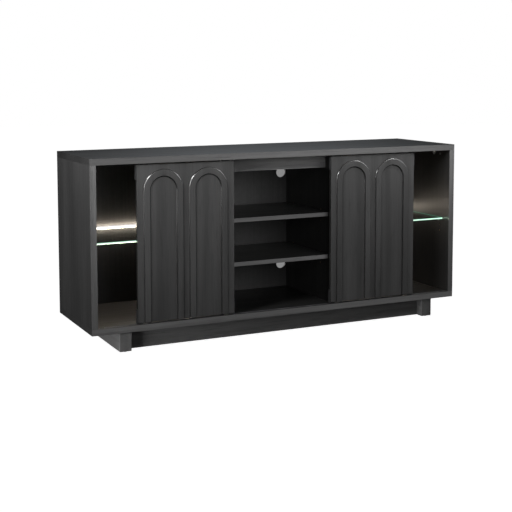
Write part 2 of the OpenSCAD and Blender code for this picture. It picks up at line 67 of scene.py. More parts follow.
class Graph:
    """A material's node tree, with short calls for the nodes that the materials here share."""

    def __init__(self, name):
        self.material = bpy.data.materials.new(name)
        self.material.use_nodes = True
        self.nodes = self.material.node_tree.nodes
        self.links = self.material.node_tree.links
        self.shader = self.nodes["Principled BSDF"]
        self.place = self.nodes.new("ShaderNodeTexCoord").outputs["Object"]
        split = self.nodes.new("ShaderNodeSeparateXYZ")
        self.links.new(self.place, split.inputs[0])
        self.axes = split.outputs

    def put(self, socket, value):
        """Links value into socket, or sets it there when it is a plain number or colour."""
        if isinstance(value, bpy.types.NodeSocket):
            self.links.new(value, socket)
        else:
            socket.default_value = value

    def set(self, **values):
        """Sets or links the shader's inputs, named with underscores for spaces."""
        for name, value in values.items():
            self.put(self.shader.inputs[name.replace("_", " ")], value)

    def math(self, operation, *values, clamp=False):
        """One Math node on numbers or sockets."""
        node = self.nodes.new("ShaderNodeMath")
        node.operation, node.use_clamp = operation, clamp
        for socket, value in zip(node.inputs, values):
            self.put(socket, value)
        return node.outputs[0]

    def product(self, first, *rest):
        for value in rest:
            first = self.math("MULTIPLY", first, value)
        return first

    def stretched(self, scale=(1, 1, 1), shift=(0, 0, 0)):
        """The point's place, scaled per axis and shifted."""
        node = self.nodes.new("ShaderNodeMapping")
        self.links.new(self.place, node.inputs["Vector"])
        node.inputs["Scale"].default_value = scale
        node.inputs["Location"].default_value = shift
        return node.outputs[0]

    def noise(self, place, scale, detail=3.0, roughness=0.5):
        node = self.nodes.new("ShaderNodeTexNoise")
        self.links.new(place, node.inputs["Vector"])
        for name, value in (("Scale", scale), ("Detail", detail), ("Roughness", roughness)):
            node.inputs[name].default_value = value
        return node.outputs["Fac"]

    def wave(self, place, scale, distortion, detail, direction):
        node = self.nodes.new("ShaderNodeTexWave")
        node.bands_direction = direction
        self.links.new(place, node.inputs["Vector"])
        for name, value in (("Scale", scale), ("Distortion", distortion), ("Detail", detail)):
            node.inputs[name].default_value = value
        return node.outputs["Fac"]

    def ranged(self, value, low, high, to_low=0.0, to_high=1.0):
        """value's place between low and high, mapped between to_low and to_high, and clamped."""
        node = self.nodes.new("ShaderNodeMapRange")
        for socket, number in zip(node.inputs, (value, low, high, to_low, to_high)):
            self.put(socket, number)
        return node.outputs[0]

    def mixed(self, factor, first, second):
        """A colour between first and second."""
        node = self.nodes.new("ShaderNodeMix")
        node.data_type = "RGBA"
        for name, value in (("Factor_Float", factor), ("A_Color", first), ("B_Color", second)):
            self.put(next(s for s in node.inputs if s.identifier == name), value)
        return next(s for s in node.outputs if s.identifier == "Result_Color")

    def tinted(self, value, tint):
        """A grey value times a tint, as a colour."""
        node = self.nodes.new("ShaderNodeVectorMath")
        node.operation = "SCALE"
        node.inputs[0].default_value = tint
        self.put(node.inputs["Scale"], value)
        return node.outputs[0]

    def bump(self, height, distance, strength=1.0):
        """Raises the surface by up to distance metres, by height."""
        node = self.nodes.new("ShaderNodeBump")
        self.put(node.inputs["Height"], height)
        node.inputs["Distance"].default_value = distance
        node.inputs["Strength"].default_value = strength
        self.links.new(node.outputs[0], self.shader.inputs["Normal"])

    def facing_front(self):
        """How squarely the surface faces along Y: 1 on the front and the back, 0 on the sides."""
        split = self.nodes.new("ShaderNodeSeparateXYZ")
        normal = self.nodes.new("ShaderNodeTexCoord").outputs["Normal"]
        self.links.new(normal, split.inputs[0])
        return self.math("ABSOLUTE", split.outputs[Y_AXIS])

    def inside(self, low, high, depth):
        """1 where a point is deeper than depth inside the box, as the walls of a drilled hole are."""
        tests = [self.math("GREATER_THAN", self.axes[a], low[a] + depth) for a in range(3)]
        tests += [self.math("LESS_THAN", self.axes[a], high[a] - depth) for a in range(3)]
        return self.product(*tests)

    def off_middle(self, box):
        """How far a point is above or below the middle of the box, and half the box's height."""
        low, high = box
        height = self.math("SUBTRACT", self.axes[Z_AXIS], (low.z + high.z) / 2)
        return self.math("ABSOLUTE", height), (high.z - low.z) / 2


# ---------------------------------------------------------------- wood-grain laminate

CHARCOAL = (1.0, 0.995, 0.995)       # tint of the laminate
CHIPBOARD = (0.42, 0.32, 0.21, 1.0)  # raw board in the drilled holes
RELIEF_SHADE = 0.30                   # painted shade: how much darker the milled slopes are drawn than the face
RELIEF_SHEEN = 0.42                  # roughness of milled slopes, as a part of the flat face's
SLOPE_TO_FLAT = (0.70, 0.97)         # facing_front on a milled slope, and on a flat face
INNER_SHADE = 0.60                    # painted shade: how much darker the inner faces are drawn than the outside
SKIN = 0.0006                        # anything deeper in a board than this is raw board
PRINT_DEPTH = 0.0002                 # embossing of the print


def grained(grain, lengthwise):
    """A scale that is 1 across the grain axis and lengthwise along it."""
    return tuple(lengthwise if axis == grain else 1.0 for axis in range(3))


def wood_print(g, grain, shift):
    """The print's shade, its streaks and its pores. shift moves it, so that no two boards match."""
    move = (shift, shift * 0.37, shift * 0.71)

    def along(lengthwise):
        return g.stretched(grained(grain, lengthwise), move)

    figure = g.wave(along(0.10), 4.2, 7.0, 3.0, "Z" if grain == X_AXIS else "X")
    drift = g.noise(along(0.16), 11.0, 3.0, 0.55)
    streak = g.noise(along(0.028), 95.0, 4.0, 0.62)
    fibre = g.noise(along(0.02), 520.0, 3.0, 0.6)
    fleck = g.noise(along(0.07), 120.0, 3.0, 0.7)
    pores = g.ranged(fibre, 0.30, 0.42, 0.62, 1.0)
    shade = g.product(g.ranged(figure, 0.0, 0.5, 0.84, 1.06), g.ranged(drift, 0.25, 0.75, 0.80, 1.20),
                      g.ranged(streak, 0.25, 0.75, 0.86, 1.14), g.ranged(fibre, 0.2, 0.8, 0.9, 1.1),
                      g.ranged(fleck, 0.28, 0.40, 0.66, 1.0), pores)
    return shade, streak, pores


def laminate(name, box, grain, tone, shift=0.0, band=1.0, inner=None, milled=False):
    """Charcoal wood-grain laminate on one board. band is how much lighter its front edge is drawn,
    partly lighter edging and partly painted light, and inner the face (axis, sign, roughness factor)
    drawn darker, as painted shade. A milled board has painted shade on the slopes of its relief, which
    shine more; the others show raw board in their holes."""
    low, high = box
    g = Graph(name)
    shade, streak, pores = wood_print(g, grain, shift)
    # partly painted light: the front edge is drawn lighter by band, beyond the lighter edging
    lit_edging = g.math("LESS_THAN", g.axes[Y_AXIS], low[Y_AXIS] + SKIN)
    shade = g.product(shade, g.ranged(lit_edging, 0.0, 1.0, 1.0, band), tone)
    rough = g.ranged(streak, 0.25, 0.75, 0.49, 0.35)
    if inner:
        axis, sign, sheen = inner
        face = (high if sign > 0 else low)[axis] - sign * SKIN
        side = g.math("GREATER_THAN" if sign > 0 else "LESS_THAN", g.axes[axis], face)
        # painted shade: the inner face is drawn darker
        shade = g.product(shade, g.ranged(side, 0.0, 1.0, 1.0, INNER_SHADE))
        rough = g.product(rough, g.ranged(side, 0.0, 1.0, 1.0, sheen))
    colour = g.tinted(shade, CHARCOAL)
    if milled:
        front = g.facing_front()
        # painted shade: the milled slopes are drawn darker than the flat face
        painted_slope_shade = g.tinted(g.product(shade, RELIEF_SHADE), CHARCOAL)
        colour = g.mixed(g.ranged(front, *SLOPE_TO_FLAT), painted_slope_shade, colour)
        rough = g.product(rough, g.ranged(front, *SLOPE_TO_FLAT, RELIEF_SHEEN, 1.0))
    else:
        colour = g.mixed(g.inside(low, high, SKIN), colour, CHIPBOARD)
    g.set(Base_Color=colour, Roughness=rough)
    g.bump(g.math("ADD", g.product(streak, 0.6), g.product(pores, 0.4)), PRINT_DEPTH)
    return g.material


# ---------------------------------------------------------------- other materials

BACK_TONE = 0.038
FIBRE_DEPTH = 0.0002
SPARK_SCALE = 900.0         # spark-eroded texture of moulded parts
SPARK_DEPTH = 0.00015
METAL_DEPTH = 0.00005
GLASS_EDGE = 0.0007         # how far in from its front edge a glass shelf glows
GLASS_END = 0.003           # how far in from its ends
GLASS_GLOW = 1.15
GLASS_END_GLOW = 0.45
LENS_GLOW = 1.05
LENS_PITCH = 60.0           # small lamps to a metre


def backing(name, box):
    """Thin printed hardboard: matt charcoal in front, brown fibre where it is cut or drilled."""
    low, high = box
    g = Graph(name)
    mottle = g.noise(g.stretched(), 60.0, 4.0, 0.6)
    fleck = g.noise(g.stretched((1, 1, 0.5)), 900.0, 3.0, 0.6)
    streak = g.noise(g.stretched((1, 1, 0.03)), 140.0, 3.0, 0.6)
    shade = g.product(g.ranged(mottle, 0.3, 0.7, 0.9, 1.1),
                      g.ranged(streak, 0.25, 0.75, 0.78, 1.2), BACK_TONE)
    brown = g.tinted(g.ranged(fleck, 0.3, 0.7, 0.5, 1.1), (0.16, 0.10, 0.06))
    colour = g.mixed(g.inside(low, high, SKIN), g.tinted(shade, CHARCOAL), brown)
    g.set(Base_Color=colour, Roughness=g.ranged(fleck, 0.3, 0.7, 0.42, 0.56))
    g.bump(fleck, FIBRE_DEPTH, 0.6)
    return g.material


def moulded(name, colour, roughness):
    """Moulded plastic or rubber with a fine spark-eroded texture."""
    g = Graph(name)
    skin = g.noise(g.stretched(), SPARK_SCALE, 4.0, 0.65)
    flow = g.noise(g.stretched(), 45.0, 2.0)
    shade = g.math("MULTIPLY", g.ranged(skin, 0.3, 0.7, 0.9, 1.08), g.ranged(flow, 0.3, 0.7, 0.94, 1.05))
    g.set(Base_Color=g.tinted(shade, colour),
          Roughness=g.ranged(skin, 0.3, 0.7, roughness - 0.06, roughness + 0.08))
    g.bump(skin, SPARK_DEPTH)
    return g.material


def metal(name, colour, roughness, lay=None):
    """Bare or plated metal. lay is the axis that drawn or extruded metal has its fine lines along."""
    g = Graph(name)
    scale = grained(lay, 0.01) if lay is not None else (1, 1, 1)
    line = g.noise(g.stretched(scale), 1400.0, 3.0, 0.6)
    stain = g.noise(g.stretched(), 70.0, 3.0, 0.6)
    shade = g.math("MULTIPLY", g.ranged(line, 0.3, 0.7, 0.9, 1.06),
                   g.ranged(stain, 0.3, 0.7, 0.92, 1.04))
    g.set(Base_Color=g.tinted(shade, colour), Metallic=1.0,
          Roughness=g.ranged(line, 0.3, 0.7, roughness - 0.07, roughness + 0.1))
    g.bump(line, METAL_DEPTH)
    return g.material


def shelf_glass(name, box):
    """Float glass, clear through its faces, whose cut edges are drawn glowing with painted light that
    stands for
    the light bar behind it: white along their middle, green at the arrises."""
    low, high = box
    g = Graph(name)
    front = g.math("LESS_THAN", g.axes[Y_AXIS], low[Y_AXIS] + GLASS_EDGE)
    ends = g.math("ADD", g.math("LESS_THAN", g.axes[X_AXIS], low[X_AXIS] + GLASS_END),
                  g.math("GREATER_THAN", g.axes[X_AXIS], high[X_AXIS] - GLASS_END), clamp=True)
    ripple = g.noise(g.stretched(), 55.0, 3.0)
    haze = g.noise(g.stretched(), 700.0, 3.0)
    off_middle, half = g.off_middle(box)
    # painted light: the glass's cut edges glow
    core = g.product(front, g.ranged(off_middle, half * 0.35, half * 0.95, 1.0, 0.0))
    rim = g.math("MAXIMUM", front, g.math("MULTIPLY", ends, GLASS_END_GLOW))
    glow = g.product(rim, g.ranged(ripple, 0.3, 0.7, 0.85, 1.1), g.ranged(core, 0.0, 1.0, 0.35, 1.0),
                     GLASS_GLOW)
    tint = g.mixed(rim, (0.93, 0.985, 0.955, 1.0), (0.45, 0.80, 0.62, 1.0))
    g.set(Base_Color=tint, Roughness=g.ranged(haze, 0.3, 0.7, 0.0, 0.025), IOR=1.52,
          Transmission_Weight=1.0, Emission_Strength=glow,
          Emission_Color=g.mixed(core, (0.25, 1.0, 0.62, 1.0), (0.86, 1.0, 0.90, 1.0)))
    return g.material


def light_lens(name, box):
    """A milky lens over a row of small lamps, brightest along its middle."""
    g = Graph(name)
    wave = g.math("COSINE", g.math("MULTIPLY", g.axes[X_AXIS], LENS_PITCH * math.tau))
    milk = g.noise(g.stretched(), 300.0, 3.0)
    off_middle, half = g.off_middle(box)
    glow = g.product(g.ranged(wave, -1.0, 1.0, 0.9, 1.1), g.ranged(milk, 0.3, 0.7, 0.92, 1.05),
                     g.ranged(off_middle, half * 0.2, half, 1.0, 0.6), LENS_GLOW)
    g.set(Base_Color=g.tinted(g.ranged(milk, 0.3, 0.7, 0.8, 0.9), (1.0, 0.98, 0.94)), Roughness=0.35,
          Emission_Color=(1.0, 0.97, 0.92, 1.0), Emission_Strength=glow)
    return g.material


def clear_sleeve(name):
    """Soft clear vinyl on the glass pins."""
    g = Graph(name)
    cloud = g.noise(g.stretched(), 400.0, 3.0)
    g.set(Base_Color=g.tinted(g.ranged(cloud, 0.3, 0.7, 0.86, 0.98), (0.95, 0.98, 1.0)), IOR=1.46,
          Roughness=g.ranged(cloud, 0.3, 0.7, 0.15, 0.35), Transmission_Weight=0.85)
    return g.material


def beech(name):
    """Fluted beech dowels, their grain across the cabinet."""
    g = Graph(name)
    fibre = g.noise(g.stretched((0.05, 1, 1)), 700.0, 3.0, 0.6)
    g.set(Base_Color=g.mixed(fibre, (0.52, 0.35, 0.19, 1.0), (0.70, 0.52, 0.32, 1.0)),
          Roughness=g.ranged(fibre, 0.3, 0.7, 0.5, 0.7))
    g.bump(fibre, FIBRE_DEPTH)
    return g.material


# ---------------------------------------------------------------- finishes of the CAD nodes

# how light each board is drawn: the print's tone, and on the left side panel, the top rail and the front
# base rail also painted light or shade
DOOR_TONE = 0.0365
BODY_TONE = 0.046
TOP_TONE = 0.043
# painted shade: the left side panel is drawn darker than the same laminate elsewhere
LEFT_SHADED_TONE = 0.036
SHELF_TONE = 0.042
# painted light: the top rail is drawn far lighter than the same laminate elsewhere
RAIL_LIT_TONE = 0.29
BASE_TONE = 0.046
# painted light: the front base rail is drawn lighter than the same laminate elsewhere
PLINTH_LIT_TONE = 0.075

# how much lighter each front edge is drawn: lighter edging, and in part painted light
TOP_BAND = 2.1
BOTTOM_BAND = 2.6
LEFT_BAND = 2.15
RIGHT_BAND = 1.8
SHELF_BAND = 4.0

INNER_SHEEN = 0.8        # roughness of the side panels' inner faces, as a part of the outer ones'
BOARD_SHIFT = 1.3        # from one board's piece of the print to the next one's
DOOR_SHIFT = {"left": 3.1, "right": 7.7}

# node: (grain axis, tone, lighter front edge, partly painted light, inner face drawn darker as painted
# shade, if it has one)
BOARDS = {
    "top_panel": (X_AXIS, TOP_TONE, TOP_BAND),
    "bottom_panel": (X_AXIS, BODY_TONE, BOTTOM_BAND, (Z_AXIS, 1, 1.0)),
    "left_side_panel": (Z_AXIS, LEFT_SHADED_TONE, LEFT_BAND, (X_AXIS, 1, INNER_SHEEN)),
    "right_side_panel": (Z_AXIS, BODY_TONE, RIGHT_BAND, (X_AXIS, -1, INNER_SHEEN)),
    "left_divider": (Z_AXIS, BODY_TONE, 1.0),
    "right_divider": (Z_AXIS, BODY_TONE, 1.0),
    "centre_top_rail": (X_AXIS, RAIL_LIT_TONE, 1.0),
    "upper_shelf": (X_AXIS, SHELF_TONE, SHELF_BAND),
    "lower_shelf": (X_AXIS, SHELF_TONE, SHELF_BAND),
    "left_base_runner": (Y_AXIS, BASE_TONE, 1.0),
    "right_base_runner": (Y_AXIS, BASE_TONE, 1.0),
    "front_base_rail": (X_AXIS, PLINTH_LIT_TONE, 1.0),
    "rear_base_rail": (X_AXIS, BASE_TONE, 1.0),
}
BACKS = ("left_back_board", "centre_back_board", "right_back_board")
EDGE_ROUND = 0.0006      # rounding of a laminated board's edges
GLASS_ROUND = 0.0008
FITTING_ROUND = 0.0004
ROUNDED_FITTINGS = ("left_door_wheel_housings", "right_door_wheel_housings", "left_door_top_guides",
                    "right_door_top_guides", "bottom_track", "top_track")


def finish_with(node, material):
    """Puts one material on a CAD node."""
    slots = frame["nodes"][node].data.materials
    slots.clear()
    slots.append(material)


def soften(piece, width):
    """Rounds a CAD solid's sharp edges, as edging, moulding and polishing do."""
    weld = piece.modifiers.new("weld", "WELD")
    weld.merge_threshold = 1e-6
    flat = piece.modifiers.new("flat", "DECIMATE")
    flat.decimate_type, flat.angle_limit = "DISSOLVE", math.radians(0.3)
    bevel = piece.modifiers.new("round", "BEVEL")
    bevel.width, bevel.segments = width, 2
    bevel.limit_method, bevel.angle_limit = "ANGLE", math.radians(50)
    bevel.harden_normals = False
    smooth = piece.modifiers.new("normals", "WEIGHTED_NORMAL")
    smooth.keep_sharp = True


def dress_boards():
    for turn, (node, (grain, tone, *rest)) in enumerate(BOARDS.items()):
        finish_with(node, laminate("laminate_" + node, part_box(node), grain, tone,
                                   BOARD_SHIFT * turn, *rest))
        soften(frame["nodes"][node], EDGE_ROUND)
    for node in BACKS:
        finish_with(node, backing("hardboard_" + node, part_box(node)))


def dress_fittings():
    finishes = {
        metal("extruded_aluminium", (0.30, 0.30, 0.31), 0.38, X_AXIS): ("bottom_track", "top_track"),
        metal("zinc_plated_steel", (0.62, 0.62, 0.60), 0.32): (
            "track_screws", "base_screws", "carcass_screws", "back_board_screws", "cam_bolts",
            "left_door_axles", "right_door_axles"),
        metal("nickel_plated_pins", (0.66, 0.63, 0.58), 0.24): ("shelf_pins", "glass_shelf_pins"),
        metal("zinc_cams", (0.60, 0.61, 0.62), 0.42): ("cam_locks",),
        moulded("stop_rubber", (0.02, 0.02, 0.02), 0.75): ("track_end_stops",),
        moulded("glide_plastic", (0.10, 0.10, 0.10), 0.55): ("floor_glides",),
        moulded("black_fitting_plastic", (0.018, 0.018, 0.019), 0.45): (
            "left_door_wheel_housings", "right_door_wheel_housings",
            "left_door_top_guides", "right_door_top_guides"),
        moulded("wheel_nylon", (0.70, 0.68, 0.62), 0.38): tuple(
            side + "_door_wheel_" + end for side in SIDES for end in "ab"),
        moulded("plug_plastic", (0.30, 0.30, 0.30), 0.45): ("hole_plugs",),
        moulded("light_housing", (0.55, 0.55, 0.53), 0.40): ("left_light_bar", "right_light_bar"),
        light_lens("milky_lens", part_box("left_light_lens")): (
            "left_light_lens", "right_light_lens"),
        clear_sleeve("clear_vinyl"): ("glass_pin_sleeves",),
        beech("beech_dowels"): ("dowels",),
    }
    for material, nodes in finishes.items():
        for node in nodes:
            finish_with(node, material)
    for node in ROUNDED_FITTINGS:
        soften(frame["nodes"][node], FITTING_ROUND)
    for side in SIDES:
        node = side + "_glass_shelf"
        finish_with(node, shelf_glass("float_glass_" + side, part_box(node)))
        shelf = frame["nodes"][node]
        soften(shelf, GLASS_ROUND)
        shelf.visible_shadow = shelf.visible_diffuse = False   # light bars shine through it


# ---------------------------------------------------------------- doors

ARCH_WIDTH = 0.1485
ARCH_GAP = 0.020           # between a door's two arches
ARCH_TOP_GAP = 0.0175      # above each arch
BAND_WIDTH = 0.025
BAND_RISE = 0.003          # of the band above the door's face
PANEL_DROP = 0.004         # from the band down to the panel inside it
ARC_STEPS = 56
OUTER_SLOPE = 0.0032       # width of the slope up to the band
INNER_SLOPE = 0.0042       # width of the slope down to the panel
SLOPE_BOW = 0.10
SLOPE_STEPS = 7
CORNER_ROUND = 0.003
DOOR_EDGE_ROUND = 0.0012
SHARP = math.radians(40)   # faces that meet at more than this have a sharp edge
SQUARE = math.radians(60)  # and those that meet at more than this get it rounded
FITTING_LENGTH = 0.050     # of a corner pocket, along the door's edge
FITTING_DEPTH = 0.0275
POCKET_OPEN = 0.001        # how far a pocket's cut runs out past the door
SLIVER = 0.00015           # points closer than this, left by the rounding, are merged


def slope(inset, width, top, bottom, bow):
    """A milled slope: points (inset, drop) from top to bottom, bowed out by a part of its height."""
    return [(inset + width * i / SLOPE_STEPS,
             top + (bottom - top) * (i / SLOPE_STEPS + bow * math.sin(math.pi * i / SLOPE_STEPS)))
            for i in range(SLOPE_STEPS + 1)]


def relief():
    """The arch's section: how far in from its outline, and how far below the raised band."""
    outer = slope(0.0, OUTER_SLOPE, BAND_RISE, 0.0, SLOPE_BOW)
    inner = slope(BAND_WIDTH - INNER_SLOPE / 2, INNER_SLOPE, 0.0, PANEL_DROP, -SLOPE_BOW)
    return outer + inner


def arch_angles(half_width, rise):
    """Angles round the arch from its left foot to its right one. The half's two corners are among
    them, with no other close to them."""
    corner = math.atan2(rise, half_width)
    corners = [corner, math.pi - corner]
    step = math.pi / ARC_STEPS
    even = [math.pi - i * step for i in range(ARC_STEPS + 1)]
    clear = [a for a in even if min(abs(a - c) for c in corners) > step / 2]
    return sorted(clear + corners, reverse=True)


def arch_ring(centre, foot, radius, angles):
    """Points (x, z) up the left side of an arch, over it and down its right side."""
    x, z = centre
    arc = [(x + radius * math.cos(a), z + radius * math.sin(a)) for a in angles]
    return [(x - radius, foot)] + arc + [(x + radius, foot)]


def frame_ring(centre, foot, half_width, rise, angles):
    """The matching points round the plain half of the door that holds the arch."""
    x, z = centre
    arc = []
    for a in angles:
        reach = min(half_width / max(abs(math.cos(a)), 1e-9), rise / max(math.sin(a), 1e-9))
        arc.append((x + reach * math.cos(a), z + reach * math.sin(a)))
    return [(x - half_width, foot)] + arc + [(x + half_width, foot)]


def door_half(bm, front, foot, top, middle, half_width, arch_x):
    """One half of a door's front: the face round an arch, the band and the panel inside it."""
    radius = ARCH_WIDTH / 2
    centre = (arch_x, top - ARCH_TOP_GAP - radius)
    angles = arch_angles(half_width, top - centre[1])
    rings = [[(x, front + BAND_RISE, z) for x, z in
              frame_ring((middle, centre[1]), foot, half_width, top - centre[1], angles)]]
    for inset, drop in relief():
        rings.append([(x, front + drop, z) for x, z in arch_ring(centre, foot, radius - inset, angles)])
    rows = [[bm.verts.new(p) for p in ring] for ring in rings]
    for outer, inner in zip(rows, rows[1:]):
        for i in range(len(outer) - 1):
            bm.faces.new((outer[i], outer[i + 1], inner[i + 1], inner[i]))
    bm.faces.new(rows[-1])


def edges_where(bm, test):
    """The edges whose two ends pass the test."""
    return [e for e in bm.edges if test(*(v.co for v in e.verts))]


def near(a, b, slack=2e-5):
    return abs(a - b) < slack


def pocket_boxes(side):
    """Corners of the four pockets that hold the wheel housings, wheels and top guides."""
    low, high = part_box(side + "_door")
    front, back = (corner.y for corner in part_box(side + "_door_wheel_housings"))
    for x0, x1 in ((low.x - POCKET_OPEN, low.x + FITTING_LENGTH),
                   (high.x - FITTING_LENGTH, high.x + POCKET_OPEN)):
        for z0, z1 in ((low.z - POCKET_OPEN, low.z + FITTING_DEPTH),
                       (high.z - FITTING_DEPTH, high.z + POCKET_OPEN)):
            yield Vector((x0, front, z0)), Vector((x1, back, z1))


def cut_pockets(door, side):
    """Cuts the corner pockets, so that the fittings and wheels sit in the door as in the CAD."""
    bm = bmesh.new()
    for low, high in pocket_boxes(side):
        place = Matrix.Translation((low + high) / 2) @ Matrix.Diagonal((*(high - low), 1.0))
        bmesh.ops.create_cube(bm, size=1.0, matrix=place)
    mesh = bpy.data.meshes.new("pockets")
    bm.to_mesh(mesh)
    bm.free()
    cutter = bpy.data.objects.new("pockets", mesh)
    bpy.context.scene.collection.objects.link(cutter)
    cut = door.modifiers.new("pockets", "BOOLEAN")
    cut.operation, cut.solver, cut.object = "DIFFERENCE", "EXACT", cutter
    whole = door.data
    carved = door.evaluated_get(bpy.context.evaluated_depsgraph_get())
    door.data = bpy.data.meshes.new_from_object(carved)
    door.modifiers.remove(cut)
    bpy.data.objects.remove(cutter)
    bpy.data.meshes.remove(mesh)
    bpy.data.meshes.remove(whole)


def smooth_faces(mesh):
    """Smooth shading, but for the sharp edges."""
    bm = bmesh.new()
    bm.from_mesh(mesh)
    for f in bm.faces:
        f.smooth = True
    for e in bm.edges:
        e.smooth = e.calc_face_angle(0) < SHARP
    bm.to_mesh(mesh)
    bm.free()


def door_shell(bm, low, high):
    """The whole door with square edges: its two arched halves, its walls and its back."""
    middle = (low.x + high.x) / 2
    half = (high.x - low.x) / 4
    for hand in (-1, 1):
        door_half(bm, low.y, low.z, high.z, middle + hand * half, half,
                  middle + hand * (ARCH_WIDTH + ARCH_GAP) / 2)
    bmesh.ops.remove_doubles(bm, verts=bm.verts, dist=1e-6)
    rim = [e for e in bm.edges if e.is_boundary]
    for v in bmesh.ops.extrude_edge_only(bm, edges=rim)["geom"]:
        if isinstance(v, bmesh.types.BMVert):
            v.co.y = high.y
    bmesh.ops.holes_fill(bm, edges=[e for e in bm.edges if e.is_boundary])
    bmesh.ops.recalc_face_normals(bm, faces=bm.faces)


def round_edges(bm, edges, width, segments):
    bmesh.ops.bevel(bm, geom=edges, offset=width, segments=segments, profile=0.5,
                    affect="EDGES", clamp_overlap=True)


def round_door(bm, low, high):
    """Rounds the door's four corners, then the edges of its front and back all round but below."""
    reach = CORNER_ROUND * 1.01   # a little more than a rounded corner takes up

    def corner(a, b):
        return near(a.x, b.x) and near(a.z, b.z) and not near(a.y, b.y) and (
            near(a.x, low.x) or near(a.x, high.x)) and (near(a.z, low.z) or near(a.z, high.z))

    def on_rim(p):
        return p.x < low.x + reach or p.x > high.x - reach or p.z > high.z - reach

    def outline(a, b):
        same_y = near(a.y, b.y) and (near(a.y, low.y + BAND_RISE) or near(a.y, high.y))
        return same_y and on_rim(a) and on_rim(b)

    round_edges(bm, edges_where(bm, corner), CORNER_ROUND, 4)
    rim = [e for e in edges_where(bm, outline) if e.calc_face_angle(0) > SQUARE]
    round_edges(bm, rim, DOOR_EDGE_ROUND, 3)
    bmesh.ops.remove_doubles(bm, verts=bm.verts, dist=SLIVER)


def make_door(side):
    """A door of its own mesh: milled arches, rounded corners and softened edges."""
    low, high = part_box(side + "_door")
    bm = bmesh.new()
    door_shell(bm, low, high)
    round_door(bm, low, high)
    mesh = bpy.data.meshes.new(side + "_slab")
    bm.to_mesh(mesh)
    bm.free()
    door = bpy.data.objects.new(side + "_arched_door", mesh)
    bpy.context.scene.collection.objects.link(door)
    cut_pockets(door, side)
    door.data.name = side + "_arched_door"
    smooth_faces(door.data)
    door.modifiers.new("normals", "WEIGHTED_NORMAL").keep_sharp = True
    door.data.materials.append(laminate("laminate_" + side + "_door", (low, high), Z_AXIS,
                                        DOOR_TONE, DOOR_SHIFT[side], milled=True))
    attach(door, side + "_sliding_door")
    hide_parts(side + "_door")


# ---------------------------------------------------------------- studio

def aim(thing, target):
    """Turns a lamp to the target."""
    thing.rotation_mode = "QUATERNION"
    thing.rotation_quaternion = (Vector(target) - thing.location).to_track_quat("-Z", "Y")


def lamp(name, place, target, size, power, colour=(1.0, 1.0, 1.0)):
    """A soft rectangular studio light."""
    data = bpy.data.lights.new(name, "AREA")
    data.shape, data.size, data.size_y = "RECTANGLE", *size
    data.energy, data.color = power, colour
    light = bpy.data.objects.new(name, data)
    light.location = place
    aim(light, target)
    light.visible_camera = False
    bpy.context.scene.collection.objects.link(light)
    return light


# watts to a square metre and steradian that a bar sends each way, and a glass edge forward
BAR_RADIANCE = {"up": 16.0, "down": 24.0, "front": 12.0, "end": 60.0}
BAR_COLOUR = (1.0, 0.86, 0.70)
EDGE_RADIANCE = 0.8
EDGE_COLOUR = (0.35, 1.0, 0.70)
LAMP_GAP = 0.0005              # from a lens or a glass edge to the lamp that stands for its light
END_GAP = 0.0035               # from the end of a lens to just past the end of its bar
BAR_TILT = math.radians(20)    # how far the light up and down leans to the back board


def glow_lamp(name, place, target, size, radiance, colour):
    """A lamp as bright as a glowing surface of its size."""
    return lamp(name, place, target, size, radiance * math.pi * size[0] * size[1], colour)


def bar_lamps(side):
    """What a light bar sends up, down, forward and round its outer end."""
    low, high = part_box(side + "_light_lens")
    x, y, z = (low + high) / 2
    length, depth, height = high - low
    clear = LAMP_GAP + depth / 2 * math.sin(BAR_TILT)
    ways = {"up": ((x, y, high.z + clear), depth, math.pi - BAR_TILT),
            "down": ((x, y, low.z - clear), depth, BAR_TILT),
            "front": ((x, low.y - LAMP_GAP, z), height, -math.pi / 2)}
    for way, (place, width, turn) in ways.items():
        light = glow_lamp(f"{side}_bar_{way}", place, (0, 0, 0), (length, width),
                          BAR_RADIANCE[way], BAR_COLOUR)
        light.rotation_mode = "XYZ"
        light.rotation_euler = (turn, 0, 0)
    out = -1 if side == "left" else 1
    end = x + out * (length / 2 + END_GAP)
    glow_lamp(side + "_bar_end", (end, y, z), (end + out, y - 1.0, z), (depth, height),
              BAR_RADIANCE["end"], BAR_COLOUR)


def edge_lamp(side):
    """What a glass shelf's front edge passes on from the bar behind it."""
    low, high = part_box(side + "_glass_shelf")
    x, _, z = (low + high) / 2
    glow_lamp(side + "_glass_edge", (x, low.y - LAMP_GAP, z), (x, low.y - 1.0, z),
              (high.x - low.x, high.z - low.z), EDGE_RADIANCE, EDGE_COLOUR)


# softboxes: name, place, target, size in metres, watts, and colour unless it is white
INSIDE_LIGHTS = (
    ("low_fill", (0.0, -2.5, 0.5), (0.0, -0.2, 0.3), (2.5, 0.8), 4.0),
    ("middle_fill", (0.3, -2.6, 1.2), (0.0, -0.2, 0.3), (2.2, 1.0), 27.0),
)
FRONT_LIGHTS = (
    ("front_middle", (0.3, -2.6, 1.2), (0.0, -0.2, 0.3), (2.2, 1.0), 7.5),
    ("front_right", (2.6, -2.2, 1.4), (0.0, -0.2, 0.4), (1.4, 1.4), 4.0),
    ("right", (3.0, -0.2, 1.3), (0.7, 0.0, 0.5), (1.2, 1.6), 10.0),
)
HIGH_LIGHTS = (
    ("strip_left", (-0.95, -0.5, 1.15), (-0.3, -0.2, 0.55), (0.9, 0.15), 15.0),
    ("strip_right", (0.75, -0.5, 1.15), (0.3, -0.2, 0.55), (1.2, 0.15), 16.0),
    ("right_tall", (1.15, -0.35, 1.2), (-0.4, -0.2, 0.6), (0.35, 0.9), 12.0),
)
LEFT_LIGHTS = (
    ("left_tall", (-1.6, -0.7, 1.15), (-0.5, -0.2, 0.6), (0.35, 1.0), 16.5),
    ("left_front", (-1.9, -1.0, 0.7), (-0.2, -0.2, 0.4), (0.3, 0.7), 4.0),
)
